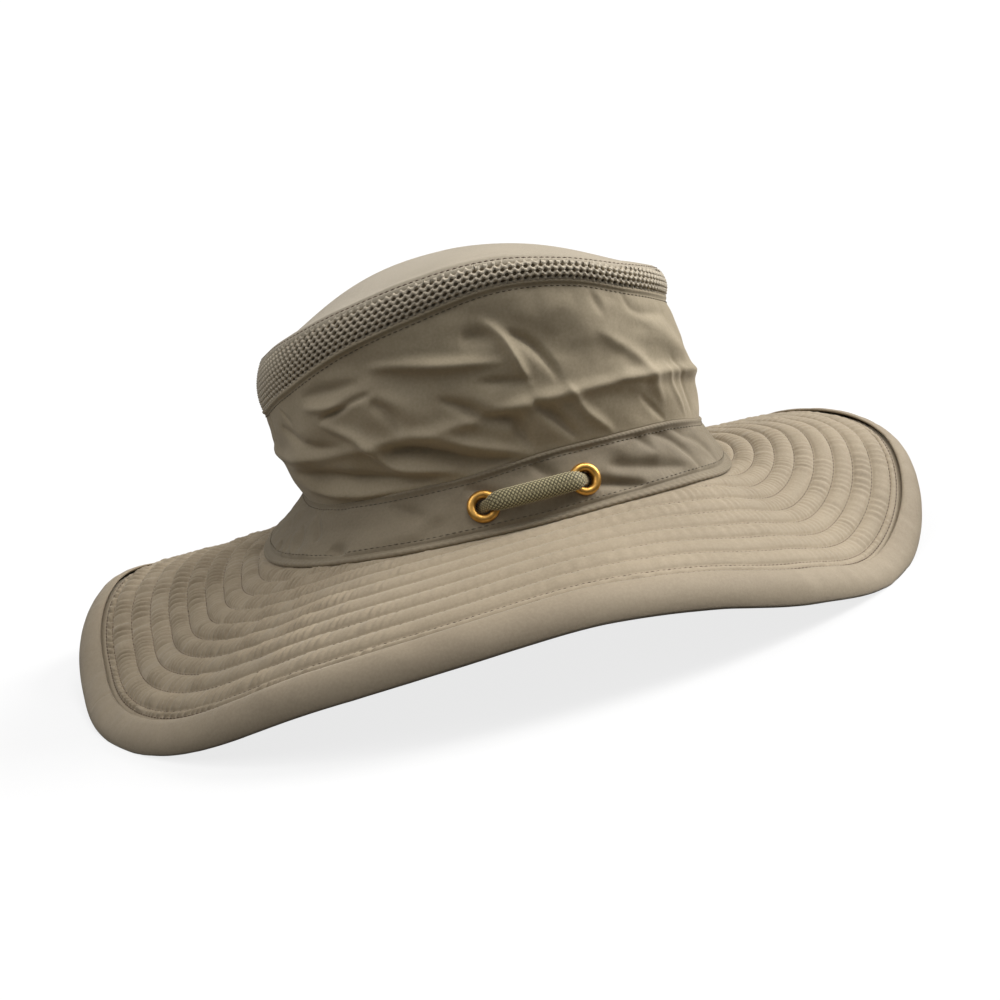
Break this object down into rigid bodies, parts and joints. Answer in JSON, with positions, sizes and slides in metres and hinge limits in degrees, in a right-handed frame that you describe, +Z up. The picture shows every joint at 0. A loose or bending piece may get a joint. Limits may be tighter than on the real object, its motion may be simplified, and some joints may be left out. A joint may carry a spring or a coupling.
{
  "type": "sun hat",
  "caption": "Soft sun hat with a domed top, a vent mesh band, a flared hat band with eyelets and a cord, and a wide quilted brim.",
  "frame": {"origin": "centre of the hat's outline in plan, at the floor that its brim rests on", "axes": "+X along the hat's long axis, +Z up, and the side with the higher brim faces -Y"},
  "size_m": [0.4062, 0.3169, 0.1728],
  "materials": {
    "top_nylon": "matte",
    "vent_knit": "matte",
    "wall_nylon": "matte",
    "band_nylon": "matte",
    "brim_nylon": "matte",
    "binding_nylon": "matte",
    "eyelet_brass": "polished",
    "cord_braid": "matte"
  },
  "bodies": {
    "root": {"crown_top": "top_nylon", "vent_mesh": "vent_knit", "crown_wall": "wall_nylon", "hat_band": "band_nylon", "brim": "brim_nylon", "brim_binding": "binding_nylon", "eyelet_near_left": "eyelet_brass", "eyelet_near_right": "eyelet_brass", "eyelet_far_left": "eyelet_brass", "eyelet_far_right": "eyelet_brass", "cord": "cord_braid"}
  },
  "joints": []
}
